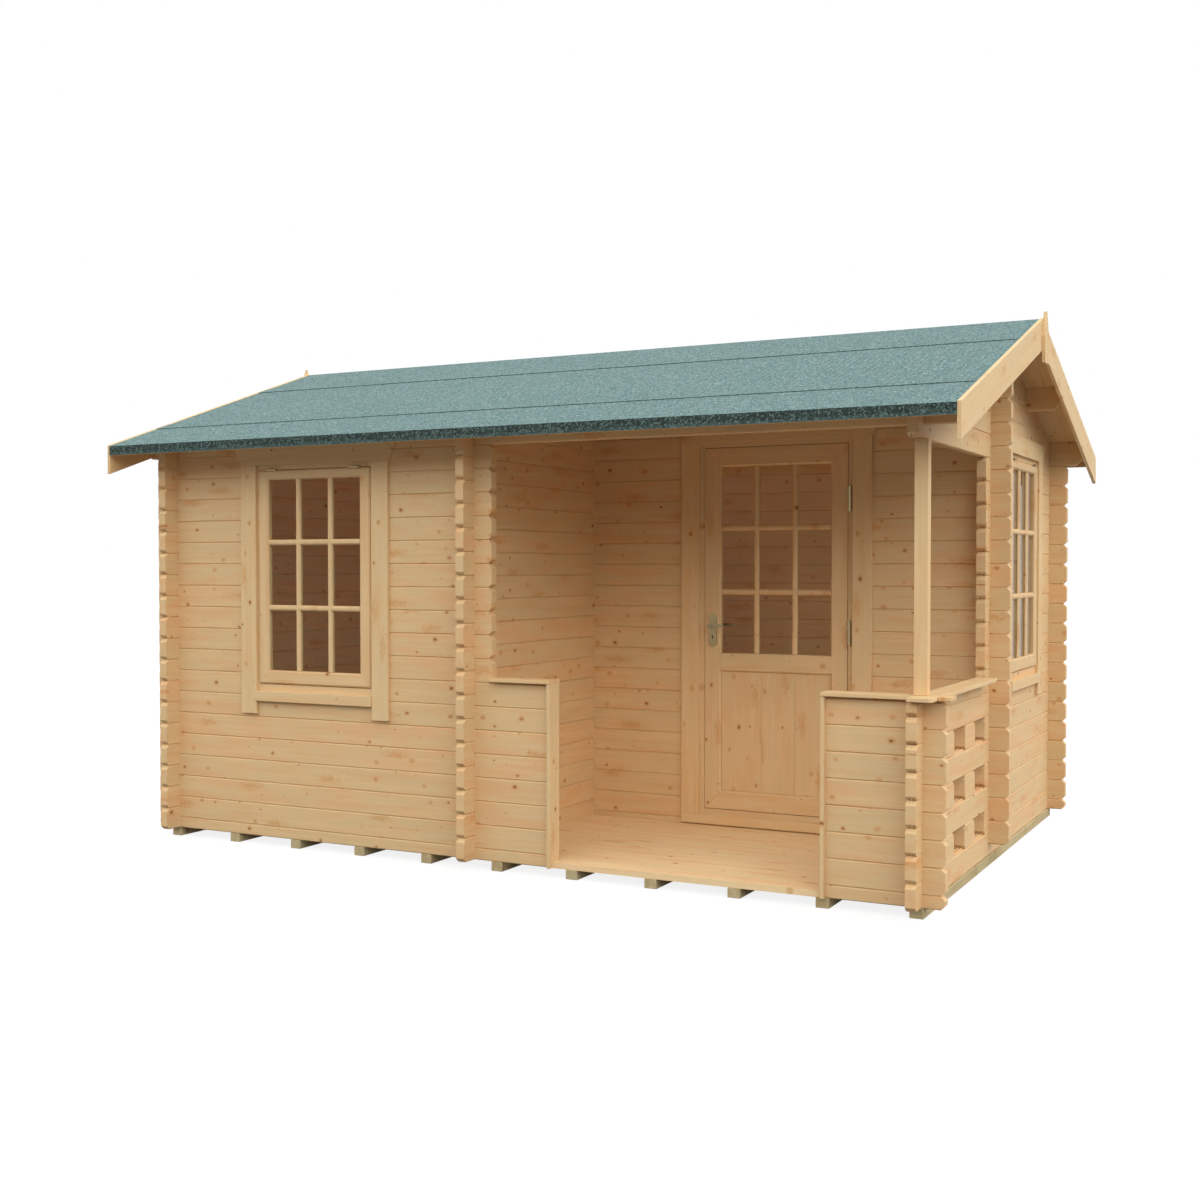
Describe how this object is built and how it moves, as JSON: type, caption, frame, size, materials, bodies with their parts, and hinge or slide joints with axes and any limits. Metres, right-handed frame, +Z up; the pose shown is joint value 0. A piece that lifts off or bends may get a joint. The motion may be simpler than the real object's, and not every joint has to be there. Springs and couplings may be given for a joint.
{
  "type": "log cabin",
  "caption": "Interlocking-log garden cabin with a low felt-covered gable roof, a corner porch with low walls, a half-glazed door and small-paned windows.",
  "frame": {"origin": "on the ground under the middle of the cabin, at the bottom centre of its bounding box", "axes": "+X along the front from the closed store towards the porch, +Y from the front to the back, +Z up"},
  "size_m": [4.5656, 3.3436, 2.7045],
  "materials": {
    "log_wood": "planed softwood, bare",
    "board_wood": "planed softwood, bare",
    "joinery_wood": "planed softwood, bare",
    "treated_wood": "pressure treated, green",
    "roofing_felt": "bitumen felt with mineral granules",
    "window_glass": "clear",
    "zinc_steel": "yellow zinc plated",
    "lever_metal": "satin"
  },
  "bodies": {
    "cabin": {"left_gable_wall": "log_wood", "porch_side_wall": "log_wood", "right_gable_wall": "log_wood", "porch_balustrade": "log_wood", "front_wall": "log_wood", "porch_front_parapet": "log_wood", "porch_back_wall": "log_wood", "back_wall": "log_wood", "bearers": "treated_wood", "store_floor": "board_wood", "porch_floor": "board_wood", "parapet_caps": "board_wood", "parapet_end_boards": "board_wood", "porch_post": "board_wood", "purlins": "log_wood", "roof_boards": "board_wood", "eave_battens": "board_wood", "eave_felt": "roofing_felt", "middle_felt": "roofing_felt", "ridge_felt": "roofing_felt", "left_bargeboards": "board_wood", "right_bargeboards": "board_wood", "finials": "board_wood", "front_window_frame": "joinery_wood", "front_window_sash": "joinery_wood", "front_window_glass": "window_glass", "front_window_bars": "joinery_wood", "front_window_trim": "board_wood", "front_window_hinges": "zinc_steel", "side_window_frame": "joinery_wood", "side_window_sash": "joinery_wood", "side_window_glass": "window_glass", "side_window_bars": "joinery_wood", "side_window_trim": "board_wood", "side_window_hinges": "zinc_steel", "door_frame": "joinery_wood", "door_trim": "board_wood", "door_frame_hinges": "zinc_steel"},
    "door": {"door_leaf": "joinery_wood", "door_panel": "joinery_wood", "door_glass": "window_glass", "door_bars": "joinery_wood", "door_plates": "zinc_steel", "door_leaf_hinges": "zinc_steel"},
    "door_lever": {"door_levers": "lever_metal"}
  },
  "joints": [
    {"name": "door_hinge", "type": "hinge", "parent": "cabin", "child": "door", "pos_m": [1.3475, -0.1888, 1.125], "axis": [0, 0, 1], "range_deg": [0, 110]},
    {"name": "lever_turn", "type": "hinge", "parent": "door", "child": "door_lever", "pos_m": [0.593, -0.1595, 1.142], "axis": [0, 1, 0], "range_deg": [0, 40], "stiffness_Nm_per_rad": 1.5, "springref_deg": -20.05}
  ]
}
